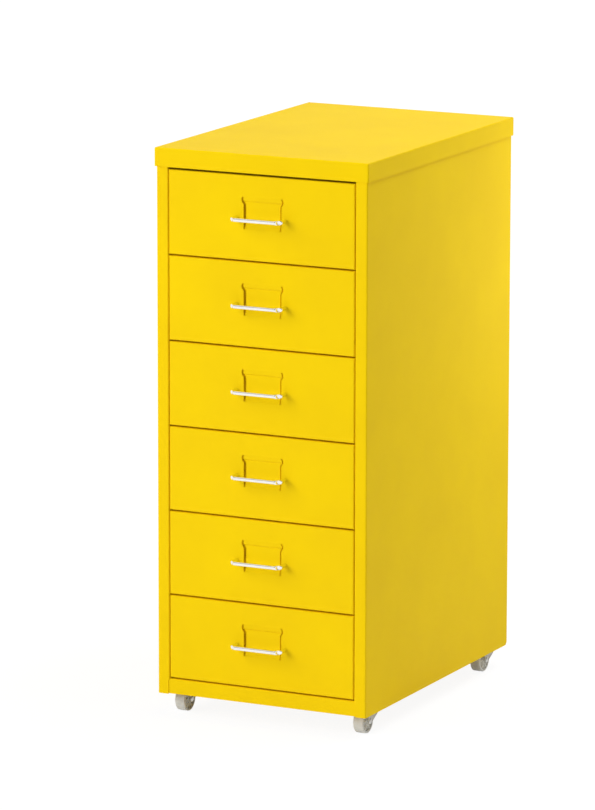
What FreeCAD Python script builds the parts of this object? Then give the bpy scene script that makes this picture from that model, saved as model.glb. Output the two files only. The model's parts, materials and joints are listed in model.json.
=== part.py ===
import FreeCAD, Part
import os
import re
import Sketcher

# A small sheet-steel cabinet of equal drawers on four swivel castors.
# Millimetres. X runs across the front, Y from front to back, Z up from the floor.
# The origin is under the middle of the whole outline, handles included.

driving_sizes = {
    # cabinet shell
    "total_height": 690,  # floor to the top of the cap
    "cap_width": 280,
    "cap_depth": 412,
    "cap_overhang": 2,  # how far the cap stands proud of the body all round
    "cap_rim": 22.5,  # height of the folded rim
    "hem_height": 8,  # the rim's edge is folded back inside by this much
    "sheet_gauge": 0.8,
    "bend_radius": 0.8,  # inside radius of every fold
    "floor_clearance": 27,  # floor to the lower edge of the body
    "rail_height": 19,  # the visible rail under the lowest drawer
    "front_flange": 15.2,  # width of the side panel's front flange
    "flange_return": 12,  # depth of the lip that turns back into the body
    "edge_flange": 12,  # top, bottom and rear flanges of a side panel
    "rail_notch": 1.6,  # the front flange is cut back this far beside the rail
    "notch_slope": 2.4,  # height of the sloping corner of that notch
    "rear_corner": 4.5,  # the side's lower rear corner is cut off by this much
    "fit_gap": 0.2,  # clearance between sheets that slip into each other
    "seam_screw": 3.5,  # self-tapping screws of the back panel
    "seam_screw_length": 8,
    "seam_head": 7,
    "seam_head_height": 2,
    "screw_play": 0.1,  # radial clearance of a screw in its hole
    # drawers
    "row_gap": 2,  # between one drawer front and the next
    "top_gap": 2.9,  # between the top drawer front and the cap's rim
    "side_gap": 1,  # between a drawer front and the front flange
    "front_return": 12,  # depth of the drawer front's folded edges
    "tray_gauge": 0.7,
    "tray_back_gap": 19.6,  # between a closed tray and the back panel
    "tray_drop": 2.8,  # from the top of the drawer front down to the tray's edge
    "tray_side_gap": 2.8,  # between the tray and the edge of the opening
    "tray_tab": 10,  # tabs and lip that fix the tray to the front
    "tray_hem": 6,  # safe edge folded inward along the tray's sides
    "stop_reach": 7,  # how far a stop ear stands out of the tray's side
    "stop_setback": 84.5,  # from the tray's rear forward to the ear
    "stop_height": 14,
    "stop_drop": 16,  # from the tray's top edge down to the ear
    "stop_play": 0.3,
    "runner_ledge": 25,  # width of the ledge that carries the tray
    "runner_wall": 14,  # height of the runner's upright
    "runner_gauge": 1,
    "runner_play": 0.3,  # running clearance under the tray
    "runner_setback": 0.5,  # behind the drawer front's return
    "runner_lead": 9,  # chamfer at the runner's front corner
    # bow handle and its nuts
    "handle_wire": 5,
    "handle_centres": 64,
    "handle_projection": 17.8,  # drawer face to the middle of the wire
    "handle_bend": 6,  # to the middle of the wire
    "stud": 4,
    "stud_length": 5.5,
    "stud_play": 0.1,
    "nut_flats": 7,
    "nut_height": 3.2,
    # label strip
    "label_width": 45.1,
    "label_shift": 1.8,  # its middle lies this far to the right of the drawer's
    "label_rise": 25.2,  # upper crease above the handle
    "label_drop": 13.2,  # lower crease under the handle
    "label_recess": 2.1,  # how far the strip is pushed in
    "label_slit": 2.25,
    "shoulder_height": 4.8,  # the strip starts with a gentle slope this high
    "shoulder_depth": 0.8,
    "label_slope": 42,  # of the steep slope under the shoulder to the drawer face, in degrees
    "label_ramp": 20,  # of the long slope back to the face, in degrees
    "label_radius": 2,  # of the strip's bends
    "neck_rise": 15.8,  # above the handle, where the strip starts to widen into its ears
    "ear_rise": 18.9,  # above the handle, where the round of an ear starts
    "ear_reach": 2,  # how far that point stands out beside the strip
    "ear_top_reach": 1.3,  # the same where the round meets the upper crease
    "ear_radius": 5,
    "cheek_width": 6,  # the drawer's face beside the strip, up to the line of the punch
    # castors
    "castor_side_inset": 19,  # body side to the swivel axis
    "castor_front_inset": 42.5,
    "castor_rear_inset": 31,
    "castor_swing_play": 4,  # round the crown, free of the side panel's lower flange
    "castor_trail": 9,  # the wheel runs this far ahead of the swivel axis
    "wheel_diameter": 30,
    "wheel_width": 13,
    "wheel_rim": 2.8,  # radial width of the rim beside the recess
    "wheel_recess": 2.6,
    "tread_edge": 1.2,
    "hub_diameter": 9,
    "hub_stand": 0.5,  # the hub stands this far proud of the rim
    "axle": 4,
    "axle_play": 0.05,
    "axle_head": 6.6,
    "axle_head_height": 1,
    "leg_gauge": 2.2,
    "leg_play": 0.8,  # between the wheel's side and the fork's leg
    "boss_diameter": 7.4,
    "skirt_front": 24,  # height at which the leg's front edge starts to taper
    "skirt_rear": 21.5,
    "crown_diameter": 32,
    "crown_height": 5,
    "crown_play": 1,  # between the wheel's top and the crown
    "race_height": 2.2,
    "race_diameter": 24,
    "race_play": 0.3,
    "cup_diameter": 28,
    "kingpin": 6,
    "kingpin_play": 0.06,
    "kingpin_head": 11,
    "kingpin_head_height": 1.6,
    "kingpin_head_play": 0.4,
    "plate_side": 34,
    "plate_gauge": 2,
    "plate_corner": 4,
    "plate_screw": 4,
    "plate_screw_spacing": 25.4,
    "plate_screw_stand": 0.8,  # how far the thread shows above the base
    "plate_screw_head": 7,
    "plate_screw_head_height": 2.2,
    # for cuts that run past a face
    "overrun": 1,
}

drawer_count = 6
screw_rows = (1, 3, 5)  # the rear flange is screwed at the middle of these rows

derived_sizes = {
    "body_half": "cap_width / 2 - cap_overhang",
    "body_depth": "cap_depth - 2 * cap_overhang",
    "body_height": "total_height - sheet_gauge - floor_clearance",
    "panel_inner": "body_half - sheet_gauge",
    "back_half": "panel_inner - bend_radius - fit_gap",
    "opening_half": "body_half - front_flange",
    "fold_outer": "bend_radius + sheet_gauge",
    "back_face": "body_depth - 2 * sheet_gauge",
    "rail_top": "floor_clearance + rail_height",
    "handle_reach": "handle_projection + handle_wire / 2",
    "front_plane": "(handle_reach - cap_overhang - cap_depth) / 2 + cap_overhang",
    "rows_bottom": "rail_top + row_gap",
    "rows_top": "total_height - cap_rim - top_gap",
    "row_pitch": f"(rows_top - rows_bottom + row_gap) / {drawer_count}",
    "front_height": "row_pitch - row_gap",
    "front_half": "opening_half - side_gap",
    "handle_level": "front_height / 2",
    "tray_half": "opening_half - tray_side_gap",
    "tray_top": "front_height - tray_drop",
    "tray_floor": "sheet_gauge + tray_gauge",
    "tray_back": "back_face - tray_back_gap",
    "stop_face": "tray_back - stop_setback",
    "drawer_travel": "stop_face - stop_play - flange_return",
    "ledge_top": "sheet_gauge - runner_play",
    "runner_start": "max(front_return; flange_return) + runner_setback",
    "label_top": "handle_level + label_rise",
    "label_bottom": "handle_level - label_drop",
    "shoulder_level": "label_top - shoulder_height",
    "recess_top": "shoulder_level - (label_recess - shoulder_depth) / tan(label_slope * 1 deg)",
    "recess_bottom": "label_bottom + label_recess / tan(label_ramp * 1 deg)",
    "castor_half": "body_half - castor_side_inset",
    "swing": "crown_diameter / 2 + castor_swing_play",
    "foot_start": "castor_front_inset + swing",
    "foot_stop": "body_depth - castor_rear_inset - swing",
    "wheel_radius": "wheel_diameter / 2",
    "rim_radius": "wheel_radius - wheel_rim",
    "web_half": "wheel_width / 2 - wheel_recess",
    "hub_half": "wheel_width / 2 + hub_stand",
    "bore_radius": "axle / 2 + axle_play",
    "leg_inner": "wheel_width / 2 + leg_play",
    "leg_outer": "leg_inner + leg_gauge",
    "leg_half": "sqrt((crown_diameter / 2) ^ 2 - leg_outer ^ 2)",
    "crown_bottom": "wheel_diameter + crown_play",
    "crown_top": "crown_bottom + crown_height",
    "race_top": "crown_top + race_height",
    "cup_bottom": "race_top + race_play",
    "plate_top": "rail_top - sheet_gauge",
    "plate_bottom": "plate_top - plate_gauge",
    "kingpin_seat": "crown_bottom + kingpin_head_height + kingpin_head_play",
}

document = FreeCAD.newDocument("drawer_cabinet")
sheet = document.addObject("Spreadsheet::Sheet", "Sizes")
for row, (size_name, size_value) in enumerate(driving_sizes.items(), start=1):
    sheet.set(f"A{row}", size_name)
    sheet.set(f"B{row}", str(size_value))
    sheet.setAlias(f"B{row}", size_name)
document.recompute()


def formula(words):
    """Spell a formula in size names out as an expression on the document."""
    def owner(match):
        word = match.group()
        if word in driving_sizes:
            return "Sizes." + word
        if word in derived_sizes:
            return "Derived." + word
        return word
    return re.sub(r"[a-z][a-z_]+", owner, words)


derived = document.addObject("App::VarSet", "Derived")
for size_name in derived_sizes:
    derived.addProperty("App::PropertyFloat", size_name, "Derived")
for size_name, words in derived_sizes.items():
    derived.setExpression(size_name, formula(words))
document.recompute()


def value(words):
    """Number that a formula has now."""
    return float(sheet.evalExpression(formula(words)))


def bind(thing, path, words):
    thing.setExpression(path, formula(words))


# Sketches and features

def new_body(label, across="0", back="front_plane", up="0"):
    """Body whose own origin is on the cabinet's front face, unless placed elsewhere."""
    body = document.addObject("PartDesign::Body", label)
    body.Label = label
    body.AllowCompound = True
    bind(body, "Placement.Base.x", across)
    bind(body, "Placement.Base.y", back)
    bind(body, "Placement.Base.z", up)
    return body


def new_sketch(body, name, role, offset="0"):
    """Sketch on one of the body's own planes, moved along the plane's normal."""
    sketch = body.newObject("Sketcher::SketchObject", body.Label + "_" + name)
    plane = [item for item in body.Origin.OriginFeatures if item.Role == role][0]
    sketch.AttachmentSupport = [(plane, "")]
    sketch.MapMode = "FlatFace"
    bind(sketch, "AttachmentOffset.Base.z", offset)
    return sketch


def fix_point(sketch, geometry, end, across, up):
    """Hold a point of the sketch at two formulas, measured from the sketch's origin."""
    for kind, words in (("DistanceX", across), ("DistanceY", up)):
        datum = Sketcher.Constraint(kind, -1, 1, geometry, end, value(words))
        index = sketch.addConstraint(datum)
        bind(sketch, f"Constraints[{index}]", words)


def sketch_arc(arc):
    """An arc in the form a sketch keeps it in."""
    edge = arc.toShape()
    return Part.ArcOfCircle(edge.Curve, edge.FirstParameter, edge.LastParameter)


def arc_ends(sketch, geometry, start_point):
    """Which end of an arc is at the given point, and the other one."""
    near_start = (sketch.getPoint(geometry, 1) - start_point).Length < shape_tolerance
    return (1, 2) if near_start else (2, 1)


def bowed_side(start, stop, radius, bow):
    """Arc between two points, bowed to the side of bow, 1 or -1 along the sketch's X."""
    chord = stop - start
    normal = FreeCAD.Vector(-chord.y, chord.x, 0).normalize()
    if normal.x * bow < 0:
        normal = -normal
    rise = value(radius) - (value(radius) ** 2 - (chord.Length / 2) ** 2) ** 0.5
    return sketch_arc(Part.Arc(start, (start + stop) / 2 + normal * rise, stop))


def draw_polygon(sketch, corners, arcs={}):
    """Closed outline through corners given as pairs of formulas.

    The side that starts at a corner whose number is in arcs has that radius and bow.
    """
    places = [FreeCAD.Vector(value(across), value(up), 0) for across, up in corners]
    first = sketch.GeometryCount
    followers = [*range(1, len(places)), 0]
    ends = []
    for index, place in enumerate(places):
        stop = places[followers[index]]
        side = bowed_side(place, stop, *arcs[index]) if index in arcs else Part.LineSegment(place, stop)
        sketch.addGeometry(side, False)
        ends.append(arc_ends(sketch, first + index, place) if index in arcs else (1, 2))
    for index, (across, up) in enumerate(corners):
        following = followers[index]
        joint = (first + index, ends[index][1], first + following, ends[following][0])
        sketch.addConstraint(Sketcher.Constraint("Coincident", *joint))
        fix_point(sketch, first + index, ends[index][0], across, up)
    for index, (radius, bow) in arcs.items():
        datum = Sketcher.Constraint("Radius", first + index, value(radius))
        bind(sketch, f"Constraints[{sketch.addConstraint(datum)}]", radius)


def draw_rectangle(sketch, left, right, low, high):
    draw_polygon(sketch, [(left, low), (right, low), (right, high), (left, high)])


def draw_circle(sketch, across, up, diameter):
    centre = FreeCAD.Vector(value(across), value(up), 0)
    circle = Part.Circle(centre, FreeCAD.Vector(0, 0, 1), value(diameter) / 2)
    geometry = sketch.addGeometry(circle, False)
    fix_point(sketch, geometry, 3, across, up)
    index = sketch.addConstraint(Sketcher.Constraint("Diameter", geometry, value(diameter)))
    bind(sketch, f"Constraints[{index}]", diameter)


def draw_hexagon(sketch, across, up, flats):
    """Hexagon with two flats upright, across its flats."""
    half = f"({flats}) / 2"
    corner = f"({flats}) / sqrt(3)"
    draw_polygon(sketch, [
        (across, f"{up} + {corner}"),
        (f"{across} + {half}", f"{up} + {corner} / 2"),
        (f"{across} + {half}", f"{up} - {corner} / 2"),
        (across, f"{up} - {corner}"),
        (f"{across} - {half}", f"{up} - {corner} / 2"),
        (f"{across} - {half}", f"{up} + {corner} / 2"),
    ])


def add_pad(body, sketch, length, backward=False):
    pad = body.newObject("PartDesign::Pad", sketch.Name + "_pad")
    pad.Profile = sketch
    bind(pad, "Length", length)
    pad.Reversed = backward
    document.recompute()
    return pad


def add_pocket(body, sketch, length, backward=False):
    """Cut, with a check that it takes material away."""
    before = body.Tip.Shape.Volume
    pocket = body.newObject("PartDesign::Pocket", sketch.Name + "_pocket")
    pocket.Profile = sketch
    bind(pocket, "Length", length)
    pocket.Reversed = backward
    document.recompute()
    if not pocket.Shape.Volume < before:
        raise ValueError(f"{sketch.Label} cuts nothing")
    return pocket


def add_revolution(body, sketch, axis):
    revolution = body.newObject("PartDesign::Revolution", sketch.Name + "_revolution")
    revolution.Profile = sketch
    revolution.ReferenceAxis = (sketch, [axis])
    revolution.Angle = 360
    document.recompute()
    return revolution


def edges_at(shape, *places):
    """Names of the straight edges on lines given as (x, y, z), None along the line."""
    names = []
    for place in places:
        wanted = [None if words is None else value(words) for words in place]
        for index, edge in enumerate(shape.Edges, start=1):
            ends = [vertex.Point for vertex in edge.Vertexes]
            straight = len(ends) == 2 and isinstance(edge.Curve, Part.Line)
            if straight and all(
                target is None or all(abs(end[axis] - target) < shape_tolerance for end in ends)
                for axis, target in enumerate(wanted)
            ):
                names.append(f"Edge{index}")
    if not names:
        raise ValueError(f"no edge at {places}")
    return names


shape_tolerance = value("sheet_gauge") / 100


def add_fillet(body, radius, *places):
    """Round the edges of the body's last feature that lie at the given places."""
    base = body.Tip
    fillet = body.newObject("PartDesign::Fillet", base.Name + "_fillet")
    fillet.Base = (base, edges_at(base.Shape, *places))
    bind(fillet, "Radius", radius)
    document.recompute()
    return fillet


def add_chamfer(body, size, *places):
    base = body.Tip
    chamfer = body.newObject("PartDesign::Chamfer", base.Name + "_chamfer")
    chamfer.Base = (base, edges_at(base.Shape, *places))
    bind(chamfer, "Size", size)
    document.recompute()
    return chamfer


def hollow_out(body, axis, level, wall):
    """Turn the block into a pan, open at its flat face at the given level."""
    base = body.Tip
    target = value(level)
    open_faces = []
    for index, face in enumerate(base.Shape.Faces, start=1):
        box = face.BoundBox
        low, high = ((box.YMin, box.YMax), (box.ZMin, box.ZMax))["YZ".index(axis)]
        if abs(low - target) < shape_tolerance and abs(high - target) < shape_tolerance:
            open_faces.append(f"Face{index}")
    pan = body.newObject("PartDesign::Thickness", base.Name + "_pan")
    pan.Base = (base, open_faces)
    bind(pan, "Value", wall)
    pan.Reversed = True
    pan.Join = 1
    document.recompute()
    return pan


def mirrored(sign, words):
    """The same distance, on the side of the sign."""
    return f"{sign} * ({words})"


def row_level(row):
    """Height of a drawer front's lower edge; row 1 is at the top."""
    return f"rows_bottom + {drawer_count - row} * row_pitch"


def seam_screw_places(sign):
    """Places of the back panel's screws on one side, clear of the runners."""
    across = mirrored(sign, "body_half - edge_flange / 2")
    return [(across, f"{row_level(row)} + front_height / 2") for row in screw_rows]


# Shell

def side_panel(label, sign):
    """One folded panel: front flange with its lip, side, and flanges behind, above, below."""
    body = new_body(label)
    section = new_sketch(body, "section", "XY_Plane", "floor_clearance")
    outline = [
        ("opening_half", "0"),
        ("body_half", "0"),
        ("body_half", "body_depth"),
        ("body_half - edge_flange", "body_depth"),
        ("body_half - edge_flange", "body_depth - sheet_gauge"),
        ("panel_inner", "body_depth - sheet_gauge"),
        ("panel_inner", "sheet_gauge"),
        ("opening_half + sheet_gauge", "sheet_gauge"),
        ("opening_half + sheet_gauge", "flange_return"),
        ("opening_half", "flange_return"),
    ]
    draw_polygon(section, [(mirrored(sign, across), back) for across, back in outline])
    add_pad(body, section, "body_height")
    outer = [("opening_half", "0"), ("body_half", "0"), ("body_half", "body_depth")]
    inner = [
        ("opening_half + sheet_gauge", "sheet_gauge"),
        ("panel_inner", "sheet_gauge"),
        ("panel_inner", "body_depth - sheet_gauge"),
    ]
    add_fillet(body, "fold_outer", *[(mirrored(sign, x), y, None) for x, y in outer])
    add_fillet(body, "bend_radius", *[(mirrored(sign, x), y, None) for x, y in inner])
    flanges = (
        ("foot", "floor_clearance", "foot_start", "foot_stop"),
        ("head", "total_height - 2 * sheet_gauge", "flange_return + fit_gap", "body_depth - sheet_gauge"),
    )
    for name, level, start, stop in flanges:
        flange = new_sketch(body, name, "XY_Plane", level)
        edge = mirrored(sign, "body_half - edge_flange")
        draw_rectangle(flange, edge, mirrored(sign, "panel_inner"), start, stop)
        add_pad(body, flange, "sheet_gauge")
    notch = new_sketch(body, "notch", "XZ_Plane", "overrun")
    outline = [
        ("opening_half - overrun", "floor_clearance - overrun"),
        ("opening_half + rail_notch", "floor_clearance - overrun"),
        ("opening_half + rail_notch", "rail_top - notch_slope"),
        ("opening_half", "rail_top"),
        ("opening_half - overrun", "rail_top"),
    ]
    draw_polygon(notch, [(mirrored(sign, across), up) for across, up in outline])
    add_pocket(body, notch, "overrun + sheet_gauge")
    lip = new_sketch(body, "lip_end", "XZ_Plane", "-sheet_gauge")
    draw_rectangle(
        lip,
        mirrored(sign, "opening_half - overrun"),
        mirrored(sign, "opening_half + fold_outer"),
        "floor_clearance - overrun",
        "rail_top",
    )
    add_pocket(body, lip, "flange_return")
    corner = new_sketch(body, "rear_corner", "YZ_Plane", "body_half + overrun")
    if sign < 0:
        bind(corner, "AttachmentOffset.Base.z", "overrun - (body_half - edge_flange)")
    draw_polygon(corner, [
        ("body_depth - rear_corner - overrun", "floor_clearance - overrun"),
        ("body_depth + overrun", "floor_clearance - overrun"),
        ("body_depth + overrun", "floor_clearance + rear_corner + overrun"),
    ])
    add_pocket(body, corner, "edge_flange + 2 * overrun")
    holes = new_sketch(body, "screw_holes", "XZ_Plane", "-body_depth - overrun")
    for across, level in seam_screw_places(sign):
        draw_circle(holes, across, level, "seam_screw + 2 * screw_play")
    add_pocket(body, holes, "2 * overrun + sheet_gauge", backward=True)


def back_panel():
    """Flat sheet behind the trays, against the side panels' rear flanges."""
    body = new_body("back_panel")
    face = new_sketch(body, "face", "XZ_Plane", "-back_face")
    draw_rectangle(
        face,
        "-back_half",
        "back_half",
        "floor_clearance + sheet_gauge",
        "total_height - 2 * sheet_gauge - fit_gap",
    )
    add_pad(body, face, "sheet_gauge", backward=True)
    holes = new_sketch(body, "screw_holes", "XZ_Plane", "-back_face + overrun")
    for sign in (-1, 1):
        for across, level in seam_screw_places(sign):
            draw_circle(holes, across, level, "seam_screw + 2 * screw_play")
    add_pocket(body, holes, "2 * overrun + sheet_gauge")


def top_cap():
    """Folded lid over the body, its rim's edge hemmed inside."""
    body = new_body("top_cap")
    outline = new_sketch(body, "outline", "XY_Plane", "total_height - cap_rim")
    front = "-cap_overhang"
    back = "body_depth + cap_overhang"
    draw_rectangle(outline, "-cap_width / 2", "cap_width / 2", front, back)
    add_pad(body, outline, "cap_rim")
    add_fillet(
        body,
        "fold_outer",
        ("cap_width / 2", front, None),
        ("-cap_width / 2", front, None),
        ("cap_width / 2", back, None),
        ("-cap_width / 2", back, None),
        ("cap_width / 2", None, "total_height"),
        ("-cap_width / 2", None, "total_height"),
        (None, front, "total_height"),
        (None, back, "total_height"),
    )
    hollow_out(body, "Z", "total_height - cap_rim", "sheet_gauge")
    hem = new_sketch(body, "hem", "XY_Plane", "total_height - cap_rim")
    for layers in (1, 2):
        inset = f"{layers} * sheet_gauge"
        draw_rectangle(
            hem,
            f"-(cap_width / 2 - {inset})",
            f"cap_width / 2 - {inset}",
            f"{front} + {inset}",
            f"{back} - {inset}",
        )
    add_pad(body, hem, "hem_height")


def castor_places():
    """Swivel axes as (name, sign across, distance behind the front face)."""
    return (
        ("front_left", -1, "castor_front_inset"),
        ("front_right", 1, "castor_front_inset"),
        ("rear_left", -1, "body_depth - castor_rear_inset"),
        ("rear_right", 1, "body_depth - castor_rear_inset"),
    )


def plate_screw_places():
    places = []
    for name, sign, back in castor_places():
        for across_step in (-1, 1):
            for back_step in (-1, 1):
                across = mirrored(sign, "castor_half") + f" + {across_step} * plate_screw_spacing / 2"
                places.append((across, f"{back} + {back_step} * plate_screw_spacing / 2"))
    return places


def base_pan():
    """Pan turned upside down: its front wall is the rail under the lowest drawer."""
    body = new_body("base_pan")
    outline = new_sketch(body, "outline", "XY_Plane", "floor_clearance + sheet_gauge")
    half = "panel_inner - fit_gap"
    draw_rectangle(outline, f"-({half})", half, "sheet_gauge", "back_face")
    add_pad(body, outline, "rail_height - sheet_gauge")
    add_fillet(
        body,
        "fold_outer",
        (f"-({half})", "sheet_gauge", None),
        (half, "sheet_gauge", None),
        (f"-({half})", "back_face", None),
        (half, "back_face", None),
        (f"-({half})", None, "rail_top"),
        (half, None, "rail_top"),
        (None, "sheet_gauge", "rail_top"),
        (None, "back_face", "rail_top"),
    )
    hollow_out(body, "Z", "floor_clearance + sheet_gauge", "sheet_gauge")
    holes = new_sketch(body, "screw_holes", "XY_Plane", "rail_top + overrun")
    for across, back in plate_screw_places():
        draw_circle(holes, across, back, "plate_screw + 2 * screw_play")
    add_pocket(body, holes, "2 * overrun + sheet_gauge")


def headed_pins(label, places, role, head_level, head, head_height, shank, shank_length, backward):
    """Group of loose screws or rivets: a head, and a shank that grows out of it."""
    body = new_body(label)
    direction = "-" if backward else ""
    heads = new_sketch(body, "heads", role, f"{head_level}")
    shanks = new_sketch(body, "shanks", role, f"{head_level} + {direction}({head_height})")
    for across, along in places:
        draw_circle(heads, across, along, head)
        draw_circle(shanks, across, along, shank)
    add_pad(body, heads, head_height, backward)
    add_pad(body, shanks, shank_length, backward)
    return body


def shell_fasteners():
    headed_pins(
        "castor_screws",
        plate_screw_places(),
        "XY_Plane",
        "plate_bottom - plate_screw_head_height",
        "plate_screw_head",
        "plate_screw_head_height",
        "plate_screw",
        "plate_gauge + sheet_gauge + plate_screw_stand",
        False,
    )
    headed_pins(
        "back_panel_screws",
        seam_screw_places(-1) + seam_screw_places(1),
        "XZ_Plane",
        "-(body_depth + seam_head_height)",
        "seam_head",
        "seam_head_height",
        "seam_screw",
        "seam_screw_length",
        False,
    )
    headed_pins(
        "castor_kingpins",
        [(mirrored(sign, "castor_half"), back) for name, sign, back in castor_places()],
        "XY_Plane",
        "crown_bottom",
        "kingpin_head",
        "kingpin_head_height",
        "kingpin",
        "plate_top - crown_bottom - kingpin_head_height",
        False,
    )


def runner(label, sign, row):
    """Angle along the side panel, whose ledge carries the tray."""
    body = new_body(label, up=row_level(row))
    section = new_sketch(body, "section", "XZ_Plane", "-runner_start")
    outline = [
        ("panel_inner", "ledge_top - runner_gauge"),
        ("panel_inner", "ledge_top + runner_wall"),
        ("panel_inner - runner_gauge", "ledge_top + runner_wall"),
        ("panel_inner - runner_gauge", "ledge_top"),
        ("panel_inner - runner_ledge", "ledge_top"),
        ("panel_inner - runner_ledge", "ledge_top - runner_gauge"),
    ]
    draw_polygon(section, [(mirrored(sign, across), up) for across, up in outline])
    add_pad(body, section, "back_face - fit_gap - runner_start", backward=True)
    add_fillet(body, "bend_radius", (mirrored(sign, "panel_inner - runner_gauge"), None, "ledge_top"))
    front_corner = (mirrored(sign, "panel_inner - runner_ledge"), "runner_start", None)
    add_chamfer(body, "runner_lead", front_corner)


# Drawers

def drawer_front(label, row):
    """Folded front with the label strip lanced out of its face."""
    body = new_body(label, up=row_level(row))
    block = new_sketch(body, "outline", "XY_Plane")
    draw_rectangle(block, "-front_half", "front_half", "0", "front_return")
    add_pad(body, block, "front_height")
    add_fillet(
        body,
        "fold_outer",
        ("-front_half", "0", None),
        ("front_half", "0", None),
        (None, "0", "0"),
        (None, "0", "front_height"),
    )
    inside = new_sketch(body, "inside", "XZ_Plane", "-(front_return + overrun)")
    inner_half = "front_half - sheet_gauge"
    inner_top = "front_height - sheet_gauge"
    draw_rectangle(inside, f"-({inner_half})", inner_half, "sheet_gauge", inner_top)
    add_pocket(body, inside, "front_return + overrun - sheet_gauge", backward=True)
    add_fillet(
        body,
        "bend_radius",
        (f"-({inner_half})", "sheet_gauge", None),
        (inner_half, "sheet_gauge", None),
        (None, "sheet_gauge", "sheet_gauge"),
        (None, "sheet_gauge", inner_top),
    )
    label_strip(body)
    holes = new_sketch(body, "stud_holes", "XZ_Plane", "overrun")
    for sign in (-1, 1):
        across = mirrored(sign, "handle_centres / 2")
        draw_circle(holes, across, "handle_level", "stud + 2 * stud_play")
    add_pocket(body, holes, "2 * overrun + sheet_gauge")


def label_strip(body):
    """Strip between two slits, pressed in below a gentle shoulder and ramped back to the face.

    The window is cut up to the line of the punch, the pressed strip fills it, its sides are
    trimmed to their outline with ears, and the flat cheeks beside the slits are put back.
    """
    window = new_sketch(body, "window", "XZ_Plane", "overrun")
    half = "(label_width / 2 + cheek_width)"
    draw_rectangle(window, f"label_shift - {half}", f"label_shift + {half}", "label_bottom", "label_top")
    add_pocket(body, window, "2 * overrun + sheet_gauge")
    profile = new_sketch(body, "label_profile", "YZ_Plane", f"label_shift - {half} + label_slit")
    bends = [
        ("shoulder_depth", "shoulder_level"),
        ("label_recess", "recess_top"),
        ("label_recess", "recess_bottom"),
    ]
    outer = [("0", "label_top"), *bends, ("0", "label_bottom")]
    inner = [(f"{back} + sheet_gauge", up) for back, up in reversed(outer)]
    draw_polygon(profile, outer + inner)
    add_pad(body, profile, f"2 * ({half} - label_slit)")
    for behind in ("", " + sheet_gauge"):
        add_fillet(body, "label_radius", *[(None, back + behind, up) for back, up in bends])
    trim = new_sketch(body, "label_sides", "XZ_Plane", "overrun")
    cheeks = new_sketch(body, "label_cheeks", "XZ_Plane")
    for sign in (-1, 1):
        strip_side(trim, sign, "0")
        strip_side(cheeks, sign, "label_slit")
    add_pocket(body, trim, "2 * overrun + sheet_gauge + label_recess")
    add_pad(body, cheeks, "sheet_gauge", backward=True)


def strip_side(sketch, sign, gap):
    """Area beside the strip, from a line at the given gap from its side to the window's edge."""
    stations = [
        ("0", "label_bottom"),
        ("0", "handle_level + neck_rise"),
        ("ear_reach", "handle_level + ear_rise"),
        ("ear_top_reach", "label_top"),
    ]
    side = [(f"label_width / 2 + {reach} + {gap}", up) for reach, up in stations]
    edge = "label_width / 2 + cheek_width"
    outline = side + [(edge, "label_top"), (edge, "label_bottom")]
    corners = [(f"label_shift + {mirrored(sign, across)}", up) for across, up in outline]
    draw_polygon(sketch, corners, {2: ("ear_radius", sign)})


def drawer_tray(label, row):
    """Tray folded from one sheet, with tabs at the front and stop ears at the back."""
    body = new_body(label, up=row_level(row))
    block = new_sketch(body, "outline", "XY_Plane", "sheet_gauge")
    draw_rectangle(block, "-tray_half", "tray_half", "sheet_gauge", "tray_back")
    add_pad(body, block, "tray_top - sheet_gauge")
    add_fillet(
        body,
        "bend_radius + tray_gauge",
        ("-tray_half", None, "sheet_gauge"),
        ("tray_half", None, "sheet_gauge"),
        (None, "sheet_gauge", "sheet_gauge"),
        (None, "tray_back", "sheet_gauge"),
    )
    inside = new_sketch(body, "inside", "XY_Plane", "tray_top + overrun")
    inner_half = "tray_half - tray_gauge"
    inner_back = "tray_back - tray_gauge"
    draw_rectangle(inside, f"-({inner_half})", inner_half, "tray_floor", inner_back)
    add_pocket(body, inside, "tray_top + overrun - tray_floor")
    add_fillet(
        body,
        "bend_radius",
        (f"-({inner_half})", None, "tray_floor"),
        (inner_half, None, "tray_floor"),
        (None, "tray_floor", "tray_floor"),
        (None, inner_back, "tray_floor"),
    )
    mouth = new_sketch(body, "mouth", "XZ_Plane", "overrun - sheet_gauge")
    mouth_half = "tray_half - tray_tab"
    low = "sheet_gauge + tray_tab"
    draw_rectangle(mouth, f"-({mouth_half})", mouth_half, low, "tray_top + overrun")
    add_pocket(body, mouth, "2 * overrun + tray_gauge")
    hem = new_sketch(body, "hem", "XY_Plane", "tray_top - tray_hem")
    for sign in (-1, 1):
        draw_rectangle(
            hem,
            mirrored(sign, "tray_half - 2 * tray_gauge"),
            mirrored(sign, inner_half),
            "tray_floor",
            inner_back,
        )
    add_pad(body, hem, "tray_hem")
    ears = new_sketch(body, "stop_ears", "XY_Plane", "tray_top - stop_drop - stop_height")
    for sign in (-1, 1):
        draw_rectangle(
            ears,
            mirrored(sign, "tray_half"),
            mirrored(sign, "tray_half + stop_reach"),
            "stop_face",
            "stop_face + tray_gauge",
        )
    add_pad(body, ears, "stop_height")
    slots = new_sketch(body, "ear_slots", "YZ_Plane", "tray_half + overrun")
    draw_rectangle(
        slots,
        "stop_face + tray_gauge",
        "stop_face + tray_gauge + stop_reach",
        "tray_top - stop_drop - stop_height",
        "tray_top - stop_drop",
    )
    add_pocket(body, slots, "2 * (tray_half + overrun)")


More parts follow.
